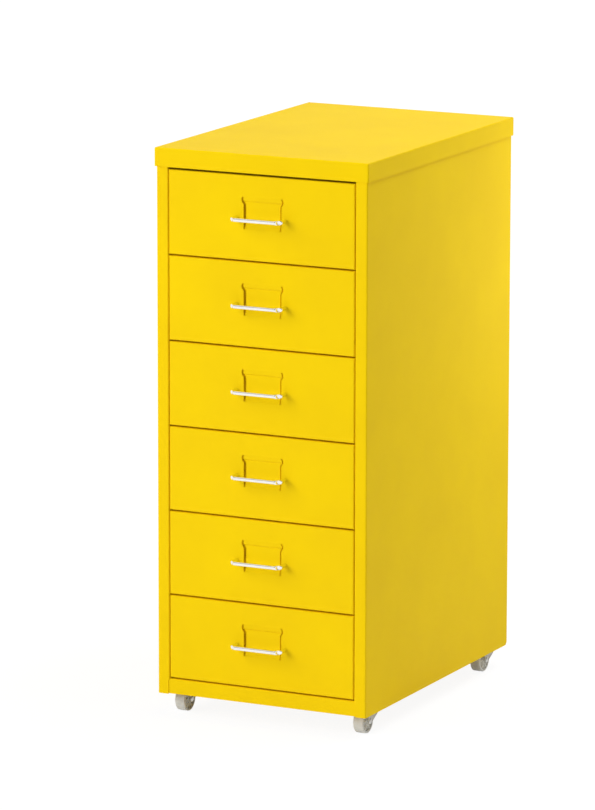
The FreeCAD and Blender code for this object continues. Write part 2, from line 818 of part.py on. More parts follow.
def drawer_handle(label, row):
    """Bow of round wire: two legs and a bar, with a turned-down stud on each leg."""
    body = new_body(label, up=row_level(row))
    path = new_sketch(body, "path", "XY_Plane", "handle_level")
    half = "handle_centres / 2"
    corner = f"{half} - handle_bend"
    bar = "-handle_projection"
    knee = "-handle_projection + handle_bend"
    stations = [
        (f"-({half})", "0"),
        (f"-({half})", knee),
        (f"-({corner})", bar),
        (corner, bar),
        (half, knee),
        (half, "0"),
    ]
    points = [FreeCAD.Vector(value(across), value(back), 0) for across, back in stations]
    bow_share = 1 - 0.5 ** 0.5  # how far a quarter bend cuts inside its corner
    cut = value("handle_bend") * bow_share
    left_mid = FreeCAD.Vector(points[1].x + cut, points[2].y + cut, 0)
    right_mid = FreeCAD.Vector(points[4].x - cut, points[3].y + cut, 0)
    pieces = [
        Part.LineSegment(points[0], points[1]),
        Part.Arc(points[1], left_mid, points[2]),
        Part.LineSegment(points[2], points[3]),
        Part.Arc(points[3], right_mid, points[4]),
        Part.LineSegment(points[4], points[5]),
    ]
    for piece in pieces:
        sketch_piece = sketch_arc(piece) if isinstance(piece, Part.Arc) else piece
        path.addGeometry(sketch_piece, False)
    for geometry in (0, 2, 4):
        for end, station in ((1, stations[geometry]), (2, stations[geometry + 1])):
            fix_point(path, geometry, end, *station)
    for geometry in (1, 3):
        start, stop = arc_ends(path, geometry, points[geometry])
        path.addConstraint(Sketcher.Constraint("Coincident", geometry, start, geometry - 1, 2))
        path.addConstraint(Sketcher.Constraint("Coincident", geometry, stop, geometry + 1, 1))
        radius = Sketcher.Constraint("Radius", geometry, value("handle_bend"))
        bind(path, f"Constraints[{path.addConstraint(radius)}]", "handle_bend")
    ring = new_sketch(body, "wire", "XZ_Plane")
    draw_circle(ring, f"-({half})", "handle_level", "handle_wire")
    pipe = body.newObject("PartDesign::AdditivePipe", body.Label + "_bow")
    pipe.Profile = ring
    pipe.Spine = (path, [f"Edge{number}" for number in range(1, len(pieces) + 1)])
    document.recompute()
    studs = new_sketch(body, "studs", "XZ_Plane")
    for sign in (-1, 1):
        draw_circle(studs, mirrored(sign, half), "handle_level", "stud")
    add_pad(body, studs, "stud_length", backward=True)


def handle_nuts(label, row):
    """Two hexagon nuts on the handle's studs, inside the drawer front."""
    body = new_body(label, up=row_level(row))
    outline = new_sketch(body, "outline", "XZ_Plane", "-sheet_gauge")
    for sign in (-1, 1):
        across = mirrored(sign, "handle_centres / 2")
        draw_hexagon(outline, across, "handle_level", "nut_flats")
        draw_circle(outline, across, "handle_level", "stud + stud_play")
    add_pad(body, outline, "nut_height", backward=True)


# Castors

def castor_body(label, sign, back):
    """Body whose origin is on the floor under the swivel axis."""
    return new_body(label, across=mirrored(sign, "castor_half"), back=f"front_plane + {back}")


def castor_plate(label, sign, back):
    """Fixed plate with the upper cup of the swivel pressed down out of it."""
    body = castor_body(label, sign, back)
    plate = new_sketch(body, "plate", "XY_Plane", "plate_bottom")
    half = "plate_side / 2"
    draw_rectangle(plate, f"-{half}", half, f"-{half}", half)
    add_pad(body, plate, "plate_gauge")
    corners = [(f"{x} * {half}", f"{y} * {half}", None) for x in (-1, 1) for y in (-1, 1)]
    add_fillet(body, "plate_corner", *corners)
    cup = new_sketch(body, "cup", "XZ_Plane")
    draw_polygon(cup, [
        ("0", "cup_bottom"),
        ("race_diameter / 2", "cup_bottom"),
        ("cup_diameter / 2", "plate_bottom"),
        ("0", "plate_bottom"),
    ])
    add_revolution(body, cup, "V_Axis")
    holes = new_sketch(body, "holes", "XY_Plane", "plate_top + overrun")
    draw_circle(holes, "0", "0", "kingpin + 2 * kingpin_play")
    for x in (-1, 1):
        for y in (-1, 1):
            spacing = "plate_screw_spacing / 2"
            draw_circle(holes, f"{x} * {spacing}", f"{y} * {spacing}", "plate_screw + 2 * screw_play")
    add_pocket(body, holes, "plate_top + overrun")


def castor_fork(label, sign, back):
    """Crown on the swivel and two tapering legs that carry the axle ahead of it."""
    body = castor_body(label, sign, back)
    crown = new_sketch(body, "crown", "XY_Plane", "crown_bottom")
    draw_circle(crown, "0", "0", "crown_diameter")
    add_pad(body, crown, "crown_height")
    race = new_sketch(body, "race", "XY_Plane", "crown_top")
    draw_circle(race, "0", "0", "race_diameter")
    add_pad(body, race, "race_height")
    for name, inner in (("left_leg", "-leg_outer"), ("right_leg", "leg_inner")):
        leg = new_sketch(body, name, "YZ_Plane", inner)
        draw_polygon(leg, [
            ("-leg_half", "crown_top"),
            ("-leg_half", "skirt_front"),
            ("-castor_trail - boss_diameter / 2", "wheel_radius"),
            ("-castor_trail", "wheel_radius - boss_diameter / 2"),
            ("-castor_trail + boss_diameter / 4", "wheel_radius - boss_diameter * sqrt(3) / 4"),
            ("leg_half", "skirt_rear"),
            ("leg_half", "crown_top"),
        ])
        add_pad(body, leg, "leg_gauge")
        boss = new_sketch(body, name + "_boss", "YZ_Plane", inner)
        draw_circle(boss, "-castor_trail", "wheel_radius", "boss_diameter")
        add_pad(body, boss, "leg_gauge")
    axle_hole = new_sketch(body, "axle_hole", "YZ_Plane", "leg_outer + overrun")
    draw_circle(axle_hole, "-castor_trail", "wheel_radius", "axle + 2 * axle_play")
    add_pocket(body, axle_hole, "2 * (leg_outer + overrun)")
    pin_hole = new_sketch(body, "pin_hole", "XY_Plane", "race_top + overrun")
    draw_circle(pin_hole, "0", "0", "kingpin + 2 * kingpin_play")
    add_pocket(body, pin_hole, "race_height + crown_height + 2 * overrun")
    seat = new_sketch(body, "pin_seat", "XY_Plane", "kingpin_seat")
    draw_circle(seat, "0", "0", "kingpin_head + 2 * kingpin_head_play")
    add_pocket(body, seat, "kingpin_seat - crown_bottom + overrun")


def axle_sketch(body, name):
    """Sketch whose origin is on the axle, with the axle along its own X."""
    sketch = new_sketch(body, name, "XZ_Plane", "castor_trail")
    bind(sketch, "AttachmentOffset.Base.y", "wheel_radius")
    return sketch


def castor_wheel(label, sign, back):
    """Moulded wheel: bevelled tread, rim, recessed web and a hub that meets the legs."""
    body = castor_body(label, sign, back)
    profile = axle_sketch(body, "profile")
    right_side = [
        ("hub_half", "bore_radius"),
        ("hub_half", "hub_diameter / 2"),
        ("web_half", "hub_diameter / 2"),
        ("web_half", "rim_radius"),
        ("wheel_width / 2", "rim_radius"),
        ("wheel_width / 2", "wheel_radius - tread_edge"),
        ("wheel_width / 2 - tread_edge", "wheel_radius"),
    ]
    left_side = [(f"-({across})", up) for across, up in reversed(right_side)]
    draw_polygon(profile, right_side + left_side)
    add_revolution(body, profile, "H_Axis")


def castor_axle(label, sign, back):
    """Riveted pin through both legs and the wheel."""
    body = castor_body(label, sign, back)
    profile = axle_sketch(body, "profile")
    right_side = [
        ("leg_outer + axle_head_height", "0"),
        ("leg_outer + axle_head_height", "axle_head / 2"),
        ("leg_outer", "axle_head / 2"),
        ("leg_outer", "axle / 2"),
    ]
    left_side = [(f"-({across})", up) for across, up in reversed(right_side)]
    draw_polygon(profile, right_side + left_side)
    add_revolution(body, profile, "H_Axis")


# Assembly

side_panel("side_panel_left", -1)
side_panel("side_panel_right", 1)
back_panel()
top_cap()
base_pan()
shell_fasteners()
for row in range(1, drawer_count + 1):
    runner(f"runner_left_{row}", -1, row)
    runner(f"runner_right_{row}", 1, row)
    drawer_front(f"drawer_{row}_front", row)
    drawer_tray(f"drawer_{row}_tray", row)
    drawer_handle(f"drawer_{row}_handle", row)
    handle_nuts(f"drawer_{row}_handle_nuts", row)
for place, sign, back in castor_places():
    castor_plate(f"castor_{place}_plate", sign, back)
    castor_fork(f"castor_{place}_fork", sign, back)
    castor_wheel(f"castor_{place}_wheel", sign, back)
    castor_axle(f"castor_{place}_axle", sign, back)
document.recompute()

for item in document.Objects:
    if "Invalid" in item.State or "Error" in item.State:
        raise ValueError(f"{item.Label} is {item.State}")
bodies = [item for item in document.Objects if item.TypeId == "PartDesign::Body"]
for body in bodies:
    if body.Shape.isNull() or not body.Shape.isValid() or not body.Shape.Solids:
        raise ValueError(f"{body.Label} has no valid shape")

os.makedirs("parts", exist_ok=True)
for body in bodies:
    body.Shape.exportStep(f"parts/{body.Label}.step")
print(len(bodies), "pieces written, each drawer travels", round(value("drawer_travel"), 3), "mm")
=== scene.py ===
import bmesh
import bpy
import json
import math
import numpy as np
from mathutils import Matrix, Vector


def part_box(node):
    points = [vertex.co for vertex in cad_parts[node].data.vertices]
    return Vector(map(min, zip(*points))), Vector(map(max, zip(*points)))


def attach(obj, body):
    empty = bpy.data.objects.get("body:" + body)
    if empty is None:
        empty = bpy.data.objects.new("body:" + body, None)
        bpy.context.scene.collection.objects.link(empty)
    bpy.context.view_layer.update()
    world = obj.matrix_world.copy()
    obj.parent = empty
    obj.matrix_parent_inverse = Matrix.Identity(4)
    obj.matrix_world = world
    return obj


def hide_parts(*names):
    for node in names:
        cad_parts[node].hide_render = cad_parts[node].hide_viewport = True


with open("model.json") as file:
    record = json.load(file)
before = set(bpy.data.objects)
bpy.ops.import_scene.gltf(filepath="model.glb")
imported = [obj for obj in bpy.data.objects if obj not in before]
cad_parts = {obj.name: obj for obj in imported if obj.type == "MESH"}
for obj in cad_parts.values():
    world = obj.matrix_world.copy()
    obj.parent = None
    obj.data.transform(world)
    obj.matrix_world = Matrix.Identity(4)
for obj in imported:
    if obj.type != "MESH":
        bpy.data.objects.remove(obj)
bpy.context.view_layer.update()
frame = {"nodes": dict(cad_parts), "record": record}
nodes = frame["nodes"]
drawerRows = range(1, 7)
castorNames = ("front_left", "front_right", "rear_left", "rear_right")
print("frame loaded:", len(nodes), "nodes")

# Mesh helpers
meshRules = {"mergeDistance": 2e-6, "sliver": 5e-7, "sharpAngle": 35}


# Faces of a grid of points, rows by columns; the last column joins the first.
def gridFaces(rows, columns):
    row, column = np.meshgrid(np.arange(rows - 1), np.arange(columns), indexing="ij")
    following = (column + 1) % columns
    corners = [row * columns + column, (row + 1) * columns + column,
               (row + 1) * columns + following, row * columns + following]
    return np.stack(corners, -1).reshape(-1, 4)


# One object out of several closed grids. Points that meet at poles and seams are merged,
# and the faces are turned outwards.
def meshPiece(name, grids, sharpAngle=meshRules["sharpAngle"]):
    points, faces, count = [], [], 0
    for grid in grids:
        rows, columns = grid.shape[:2]
        points.append(grid.reshape(-1, 3))
        faces.append(gridFaces(rows, columns) + count)
        count += rows * columns
    data = bpy.data.meshes.new(name)
    data.from_pydata(np.concatenate(points).tolist(), [], np.concatenate(faces).tolist())
    work = bmesh.new()
    work.from_mesh(data)
    bmesh.ops.remove_doubles(work, verts=work.verts, dist=meshRules["mergeDistance"])
    bmesh.ops.dissolve_degenerate(work, edges=work.edges, dist=meshRules["sliver"])
    bmesh.ops.recalc_face_normals(work, faces=work.faces)
    work.to_mesh(data)
    work.free()
    data.shade_smooth()
    data.set_sharp_from_angle(angle=math.radians(sharpAngle))
    piece = bpy.data.objects.new(name, data)
    bpy.context.scene.collection.objects.link(piece)
    return piece


def fullTurn(steps):
    return np.linspace(0, 2 * np.pi, steps, endpoint=False)


def quarterTurn(steps):
    return np.linspace(0, np.pi / 2, steps)


# Profile values repeated round the axis, unless they already differ over the angle.
def overAngle(values, steps):
    values = np.asarray(values, float).reshape(len(values), -1)
    return np.broadcast_to(values, (len(values), steps))


# Turned shape: the profile's (radius, along) pairs go round the axis. Radius and along may
# also be arrays over the angle, profile by steps, for shapes that are not quite round.
def turned(radius, along, steps, origin, axis):
    angle = fullTurn(steps)
    axis = np.asarray(axis, float)
    helper = np.array([0, 0, 1.0]) if abs(axis[2]) < 0.5 else np.array([1.0, 0, 0])
    first = np.cross(helper, axis)
    first /= np.linalg.norm(first)
    second = np.cross(axis, first)
    ring = np.cos(angle)[:, None] * first + np.sin(angle)[:, None] * second
    outward = overAngle(radius, steps)[..., None] * ring[None]
    return np.asarray(origin, float) + outward + overAngle(along, steps)[..., None] * axis


# Rounded corner of a profile: points on an arc from one angle to another, in degrees.
def roundCorner(centre, radius, start, stop, count):
    angle = np.radians(np.linspace(start, stop, count))
    return np.stack([centre[0] + radius * np.cos(angle), centre[1] + radius * np.sin(angle)], 1)


def unitRows(vectors):
    return vectors / np.linalg.norm(vectors, axis=1)[:, None]


# Outline of straight runs joined by arcs: each corner gets the circle that touches both of its
# runs, from one touching point to the other.
def roundedOutline(corners, radii, arcSteps=9, runSteps=7):
    corners, radii = np.asarray(corners, float), np.asarray(radii, float)
    before = unitRows(np.roll(corners, 1, 0) - corners)
    after = unitRows(np.roll(corners, -1, 0) - corners)
    half = np.arccos(np.clip((before * after).sum(1), -1, 1)) / 2
    reach = (radii / np.tan(half))[:, None]
    centre = corners + unitRows(before + after) * (radii / np.sin(half))[:, None]
    start, stop = corners + before * reach - centre, corners + after * reach - centre
    first, last = np.arctan2(start[:, 1], start[:, 0]), np.arctan2(stop[:, 1], stop[:, 0])
    sweep = (last - first + np.pi) % (2 * np.pi) - np.pi
    angle = first[:, None] + sweep[:, None] * np.linspace(0, 1, arcSteps)
    arcs = centre[:, None] + radii[:, None, None] * np.stack([np.cos(angle), np.sin(angle)], -1)
    share = np.linspace(0, 1, runSteps + 1)[1:-1][None, :, None]
    runs = arcs[:, -1:] + (np.roll(arcs[:, :1], -1, 0) - arcs[:, -1:]) * share
    return np.concatenate([arcs, runs], 1).reshape(-1, 2)


# Depth of a thread, nought to one, over the length along it and the angle round it.
def threadWave(along, angle, pitch):
    return 0.5 - 0.5 * np.cos(2 * np.pi * along / pitch - angle)


# One up to the reach, falling to nought over the soft edge beyond it.
def within(distance, reach, soft):
    return np.clip((reach + soft - distance) / soft, 0, 1)


def finishPiece(piece, body, slotName, material, *replaced):
    piece.data.materials.clear()
    piece.data.materials.append(material)
    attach(piece, body)
    if replaced:
        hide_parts(*replaced)


def nodeBox(name):
    low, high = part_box(name)
    return np.array(low), np.array(high)


# Centres of the separate solids in a node, seen along the axis that is left out of axes: the
# vertices within the spread of one that is left are one solid, until none is left.
def solidCentres(name, axes, spread):
    data = nodes[name].data
    points = np.empty(len(data.vertices) * 3)
    data.vertices.foreach_get("co", points)
    flat = points.reshape(-1, 3)[:, axes]
    centres = []
    while len(flat):
        near = np.abs(flat - flat[0]).max(1) < spread
        centre = (flat[near].min(0) + flat[near].max(0)) / 2
        near = np.abs(flat - centre).max(1) < spread
        centres.append((flat[near].min(0) + flat[near].max(0)) / 2)
        flat = flat[~near]
    return centres


# Materials


def emptyTree(owner, outputKind):
    owner.use_nodes = True
    tree = owner.node_tree
    tree.nodes.clear()
    return tree, tree.nodes.new(outputKind)


def newMaterial(name):
    material = bpy.data.materials.new(name)
    tree, output = emptyTree(material, "ShaderNodeOutputMaterial")
    shader = tree.nodes.new("ShaderNodeBsdfPrincipled")
    tree.links.new(shader.outputs["BSDF"], output.inputs["Surface"])
    coordinates = tree.nodes.new("ShaderNodeTexCoord")
    return material, tree, shader, coordinates.outputs["Object"]


# Noise on object coordinates; width is that of one blotch in metres.
def addNoise(tree, place, width, detail, stretch=(1, 1, 1)):
    mapping = tree.nodes.new("ShaderNodeMapping")
    mapping.inputs["Scale"].default_value = stretch
    noise = tree.nodes.new("ShaderNodeTexNoise")
    noise.inputs["Scale"].default_value = 1 / width
    noise.inputs["Detail"].default_value = detail
    tree.links.new(place, mapping.inputs["Vector"])
    tree.links.new(mapping.outputs["Vector"], noise.inputs["Vector"])
    return noise.outputs["Fac"]


# Value brought from one range to another. Most of a noise lies between 0.3 and 0.7.
def mapRange(tree, value, low, high, fromLow=0.3, fromHigh=0.7):
    node = tree.nodes.new("ShaderNodeMapRange")
    node.inputs["From Min"].default_value = fromLow
    node.inputs["From Max"].default_value = fromHigh
    node.inputs["To Min"].default_value = low
    node.inputs["To Max"].default_value = high
    tree.links.new(value, node.inputs["Value"])
    return node.outputs["Result"]


# The colours of a Mix node are its inputs 6 and 7 and its output 2.
def mixColours(tree, factor, first, second):
    node = tree.nodes.new("ShaderNodeMix")
    node.data_type = "RGBA"
    for socket, colour in ((node.inputs[6], first), (node.inputs[7], second)):
        if isinstance(colour, tuple):
            socket.default_value = (*colour, 1)
        else:
            tree.links.new(colour, socket)
    tree.links.new(factor, node.inputs[0])
    return node.outputs[2]


def addBump(tree, height, depth, normal=None):
    node = tree.nodes.new("ShaderNodeBump")
    node.inputs["Strength"].default_value = 1
    node.inputs["Distance"].default_value = depth
    tree.links.new(height, node.inputs["Height"])
    if normal is not None:
        tree.links.new(normal, node.inputs["Normal"])
    return node.outputs["Normal"]


def driftingShade(tree, place, look):
    drift = mapRange(tree, addNoise(tree, place, *look["drift"]), 0, 1)
    return mixColours(tree, drift, look["shade"], look["otherShade"])


# Powder coat: two close shades drift over the sheet, flow marks give it its skin,
# and a finer grain breaks up the gloss. Each noise here and below is (width, detail).
powderCoatLook = {
    "shade": (0.97, 0.672, 0.002),
    "otherShade": (0.93, 0.632, 0.003),
    "drift": (0.09, 3),
    "peel": (0.0016, 1.5),
    "peelDepth": 0.00006,
    "grain": (0.00035, 1),
    "grainDepth": 0.000012,
    "roughness": (0.46, 0.58),
    "specular": 0.06,
}


def powderCoat(name, look):
    material, tree, shader, place = newMaterial(name)
    tree.links.new(driftingShade(tree, place, look), shader.inputs["Base Color"])
    grain = addNoise(tree, place, *look["grain"])
    tree.links.new(mapRange(tree, grain, *look["roughness"]), shader.inputs["Roughness"])
    peel = addBump(tree, addNoise(tree, place, *look["peel"]), look["peelDepth"])
    tree.links.new(addBump(tree, grain, look["grainDepth"], peel), shader.inputs["Normal"])
    shader.inputs["Specular IOR Level"].default_value = look["specular"]
    return material


chromeLook = {
    "shade": (0.92, 0.91, 0.885),
    "dullShade": (0.85, 0.84, 0.81),
    "smear": (0.006, 3),
    "hair": (0.0009, 2, (0.08, 1, 1)),  # the third is its stretch along the wire
    "hairDepth": 0.000004,
    "roughness": (0.05, 0.11),
}


def chrome(name, look):
    material, tree, shader, place = newMaterial(name)
    shader.inputs["Metallic"].default_value = 1
    smear = mapRange(tree, addNoise(tree, place, *look["smear"]), 0, 1)
    colour = mixColours(tree, smear, look["shade"], look["dullShade"])
    tree.links.new(colour, shader.inputs["Base Color"])
    roughness = mapRange(tree, smear, *look["roughness"], 0, 1)
    tree.links.new(roughness, shader.inputs["Roughness"])
    hair = addNoise(tree, place, *look["hair"])
    tree.links.new(addBump(tree, hair, look["hairDepth"]), shader.inputs["Normal"])
    return material


zincLook = {
    "shade": (0.60, 0.605, 0.60),
    "otherShade": (0.47, 0.475, 0.48),
    "warmShade": (0.56, 0.53, 0.44),
    "warmShare": 0.6,  # at most
    "spangleWidth": 0.0022,
    "patch": (0.012, 2),
    "pit": (0.0004, 2),
    "pitDepth": 0.00001,
    "roughness": (0.28, 0.45),
}


# Zinc plate: cells of two greys and their own gloss, with warm patches over them and fine pits.
def zincPlate(name, look):
    material, tree, shader, place = newMaterial(name)
    shader.inputs["Metallic"].default_value = 1
    spangle = tree.nodes.new("ShaderNodeTexVoronoi")
    spangle.inputs["Scale"].default_value = 1 / look["spangleWidth"]
    tree.links.new(place, spangle.inputs["Vector"])
    cell = tree.nodes.new("ShaderNodeSeparateColor")
    tree.links.new(spangle.outputs["Color"], cell.inputs["Color"])
    plain = mixColours(tree, cell.outputs["Red"], look["shade"], look["otherShade"])
    patch = mapRange(tree, addNoise(tree, place, *look["patch"]), 0, look["warmShare"])
    colour = mixColours(tree, patch, plain, look["warmShade"])
    tree.links.new(colour, shader.inputs["Base Color"])
    roughness = mapRange(tree, cell.outputs["Green"], *look["roughness"], 0, 1)
    tree.links.new(roughness, shader.inputs["Roughness"])
    pits = addNoise(tree, place, *look["pit"])
    tree.links.new(addBump(tree, pits, look["pitDepth"]), shader.inputs["Normal"])
    return material


forkLook = {
    "shade": (0.66, 0.65, 0.60),
    "otherShade": (0.58, 0.57, 0.52),
    "drift": (0.01, 3),
    "grain": (0.0005, 2),
    "grainDepth": 0.00002,
    "roughness": (0.40, 0.52),
}
treadLook = {
    "shade": (0.80, 0.79, 0.735),
    "otherShade": (0.72, 0.71, 0.655),
    "drift": (0.006, 3),
    "grain": (0.0004, 2),
    "grainDepth": 0.00002,
    "roughness": (0.45, 0.6),
}


def mouldedPlastic(name, look):
    material, tree, shader, place = newMaterial(name)
    tree.links.new(driftingShade(tree, place, look), shader.inputs["Base Color"])
    grain = addNoise(tree, place, *look["grain"])
    tree.links.new(mapRange(tree, grain, *look["roughness"]), shader.inputs["Roughness"])
    tree.links.new(addBump(tree, grain, look["grainDepth"]), shader.inputs["Normal"])
    return material


yellowCoat = powderCoat("yellow_powder_coat", powderCoatLook)
handleChrome = chrome("handle_chrome", chromeLook)
zincSteel = zincPlate("zinc_steel", zincLook)
forkPlastic = mouldedPlastic("fork_plastic", forkLook)
treadPlastic = mouldedPlastic("tread_plastic", treadLook)
slotMaterials = {
    "powder_coat": yellowCoat,
    "handle_chrome": handleChrome,
    "zinc_steel": zincSteel,
    "castor_plastic": forkPlastic,
}
for part in frame["record"]["subparts"]:
    data = nodes[part["node"]].data
    data.materials.clear()
    data.materials.append(slotMaterials[part["material_slot"]])
print("materials made:", len(bpy.data.materials))

# Bow handles
bowHandle = {
    "bend": 0.006,  # to the middle of the wire
    "bendSteps": 14,
    "legSteps": 6,
    "barSteps": 14,  # to the bar's middle
    "wireSides": 40,
    "frontGauge": 0.0008,  # the sheet between the drawer's outer face and its tray
    "shoulder": 0.0004,  # rounding where the wire meets the drawer
    "shoulderSteps": 5,
    "legStart": 1.5,  # of the shoulder, before the drawer's face
    "studRadius": 0.002,
    "threadPitch": 0.0007,
    "threadDepth": 0.00028,
    "threadRings": 10,  # rings in one turn
    "tipTurns": 0.3,  # the stud's end keeps the taper that it has here
    "tipTaper": 0.25,
    "sharpAngle": 50,
}


# Wire along two legs and a bar: stations down a leg, a quarter turn, and the bar to its middle;
# the other half is its mirror. At each station a circle stands square to the path. The stud's
# radius waves with the turn and the length.
def buildHandle(row, size):
    name = f"drawer_{row}_handle"
    low, high = nodeBox(name)
    face = nodeBox(f"drawer_{row}_tray")[0][1] - size["frontGauge"]
    wire, level = (high[2] - low[2]) / 2, (high[2] + low[2]) / 2
    leg, bar = high[0] - wire, low[1] + wire
    bend, shoulder, pitch = size["bend"], size["shoulder"], size["threadPitch"]
    sides = size["wireSides"]

    studRings = int((high[1] - face) / pitch * size["threadRings"])
    studY = np.linspace(high[1], face, studRings)
    rounding = quarterTurn(size["shoulderSteps"])
    shoulderY = face - shoulder * (1 - np.cos(rounding))
    legY = np.linspace(face - shoulder * size["legStart"], bar + bend, size["legSteps"])
    straight = len(studY) + len(shoulderY) + len(legY)
    angle = quarterTurn(size["bendSteps"])[1:]
    bendX = leg - bend * (1 - np.cos(angle))
    bendY = bar + bend - bend * np.sin(angle)
    barX = np.linspace(bendX[-1], 0, size["barSteps"])[1:]
    pathX = np.concatenate([np.full(straight, leg), bendX, barX])
    pathY = np.concatenate([studY, shoulderY, legY, bendY, np.full(len(barX), bar)])
    turn = np.concatenate([np.zeros(straight), angle, np.full(len(barX), np.pi / 2)])

    around = fullTurn(sides)
    fromTip = (high[1] - studY)[:, None]
    thread = size["studRadius"] - size["threadDepth"] * threadWave(fromTip, around, pitch)
    taper = 1 - size["tipTaper"] * (1 - np.clip(fromTip / pitch, size["tipTurns"], 1))
    shoulderRadius = wire - shoulder * (1 - np.sin(rounding))
    radius = np.concatenate([
        thread * taper,
        np.repeat(shoulderRadius[:, None], sides, 1),
        np.full((len(pathX) - len(studY) - len(shoulderY), sides), wire),
    ])
    centre = np.stack([pathX, pathY, np.full(len(pathX), level)], 1)
    aside = np.stack([np.cos(turn), np.sin(turn), np.zeros(len(turn))], 1)
    upward = np.array([0, 0, 1.0]) * np.sin(around)[None, :, None]
    ring = aside[:, None] * np.cos(around)[None, :, None] + upward
    half = centre[:, None] + radius[..., None] * ring
    tip = np.repeat(centre[:1, None], sides, 1)
    half = np.concatenate([tip, half])
    other = half[-2::-1] * np.array([-1, 1, 1])
    grid = np.concatenate([half, other])
    bow = meshPiece(f"bow_handle_{row}", [grid], size["sharpAngle"])
    finishPiece(bow, f"drawer_{row}", "handle_chrome", handleChrome, name)


for row in drawerRows:
    buildHandle(row, bowHandle)
print("bow handles built")

# Label pockets
labelPocket = {
    "left": 0.026,  # of the handle's middle
    "right": 0.0273,  # this side stays clear of the handle's nut
    "earRight": 0.0298,
    "earStart": 0.010,  # over the handle: from here to earFull the right side widens for the ear
    "earFull": 0.0145,
    "above": 0.0272,
    "below": 0.0155,
    "corner": 0.0025,
    "leastCorner": 0.0005,
    "gauge": 0.0006,
    "bend": 0.0009,
    "bendSteps": 7,
    "floor": 0.0042,  # behind the drawer's outer face
    "floorRings": 22,
    "sheet": 0.0008,  # gauge of the drawer front that it is welded to
    # depth of the floor over the height from the handle: it follows the strip at both ends
    "floorLine": ((-0.0134, 0.0014), (-0.012, 0.0017), (-0.01, 0.0023), (-0.008, 0.0034),
                  (-0.0065, 0.0042), (0.0186, 0.0042), (0.0206, 0.0019)),
}


# The pocket's outline, drawn in by the inset: six rounded corners, with the right side wider at
# the top, behind the strip's ear.
def pocketOutline(inset, size):
    left, right, ear = inset - size["left"], size["right"] - inset, size["earRight"] - inset
    bottom, top = inset - size["below"], size["above"] - inset
    corners = [(left, bottom), (right, bottom), (right, size["earStart"]),
               (ear, size["earFull"]), (ear, top), (left, top)]
    radius = max(size["corner"] - inset, size["leastCorner"])
    return roundedOutline(corners, [radius] * len(corners))


# Shallow pan behind the label slits: outlines grow from the middle of its floor and go round its
# bend, on the inner side first and then back on the outer side. The depth of each point is then
# scaled to the floor's line at its height.
def buildPocket(row, size):
    face = nodeBox(f"drawer_{row}_front")[0][1]
    low, high = nodeBox(f"drawer_{row}_handle")
    level = (low[2] + high[2]) / 2
    gauge, bend, sheet, floorDepth = (size[key] for key in ("gauge", "bend", "sheet", "floor"))
    outerBend = bend + gauge
    lineHeights, lineDepths = np.transpose(size["floorLine"])
    turn = quarterTurn(size["bendSteps"])
    # each station: inset of the outline, depth, and how far this side lies behind the inner one
    stations = [(gauge + bend * (1 - np.sin(a)), floorDepth - bend * (1 - np.cos(a)), 0)
                for a in turn]
    stations += [(gauge, sheet, 0), (0, sheet, 0)]
    stations += [(outerBend * (1 - np.sin(a)), floorDepth + gauge - outerBend * (1 - np.cos(a)),
                  gauge) for a in turn[::-1]]
    rings = []
    for inset, depth, behind in stations:
        outline = pocketOutline(inset, size)
        line = np.interp(outline[:, 1], lineHeights, lineDepths)
        scale = (line + behind - sheet) / (floorDepth + behind - sheet)
        rings.append(np.insert(outline, 1, sheet + (depth - sheet) * scale, 1))
    shares = np.linspace(0, 1, size["floorRings"], endpoint=False)
    floors = []
    for ring, behind in ((rings[0], 0), (rings[-1], gauge)):
        centre = (ring.min(0) + ring.max(0)) / 2
        floor = centre + (ring - centre)[None] * shares[:, None, None]
        floor[..., 1] = np.interp(floor[..., 2], lineHeights, lineDepths) + behind
        floors.append(floor)
    grid = np.concatenate([floors[0], rings, floors[1][::-1]]) + [0, face, level]
    pocket = meshPiece(f"label_pocket_{row}", [grid])
    finishPiece(pocket, f"drawer_{row}", "powder_coat", yellowCoat)


for row in drawerRows:
    buildPocket(row, labelPocket)
print("label pockets built")

# Handle nuts
handleNut = {
    "flats": 0.007,
    "bore": 0.002,  # radius
    "lip": 1.12,  # of the bore's radius, at its mouth
    "lipDepth": 0.12,  # of the thickness
    "chamferShare": 0.93,
    "chamferSlope": 1.9,
    "levels": (0, 0.04, 0.08, 0.13, 0.2, 0.35, 0.5, 0.65, 0.8, 0.87, 0.92, 0.96, 1),
    "steps": 96,
}


# Hexagon about the stud: the radius is half the flats' distance over the cosine of the angle
# from the nearest flat, held back near both ends by a cone, which gives the curved chamfers.
def hexNut(centre, thickness, size):
    angle = fullTurn(size["steps"])
    fromFlat = (angle + np.pi / 6) % (np.pi / 3) - np.pi / 6
    hexagon = size["flats"] / 2 / np.cos(fromFlat)
    depth = thickness * np.array(size["levels"])
    edge = np.minimum(depth, thickness - depth)
    cone = size["chamferShare"] * size["flats"] / 2 + size["chamferSlope"] * edge
    outside = np.minimum(hexagon[None], cone[:, None])
    bore = np.full((1, size["steps"]), size["bore"])
    lip, lipDepth = bore * size["lip"], thickness * size["lipDepth"]
    radius = np.concatenate([bore, lip, outside, lip, bore, bore])
    along = np.concatenate([[lipDepth, 0], depth, [thickness, thickness - lipDepth, lipDepth]])
    return turned(radius, along, size["steps"], centre, (0, 1, 0))


def buildNuts(row, size):
    node = f"drawer_{row}_handle_nuts"
    low, high = nodeBox(node)
    bowLow, bowHigh = nodeBox(f"drawer_{row}_handle")
    leg = bowHigh[0] - (bowHigh[2] - bowLow[2]) / 2
    centres = [(x, low[1], (low[2] + high[2]) / 2) for x in (-leg, leg)]
    grids = [hexNut(centre, high[1] - low[1], size) for centre in centres]
    nuts = meshPiece(f"handle_nuts_{row}", grids)
    finishPiece(nuts, f"drawer_{row}", "zinc_steel", zincSteel, node)


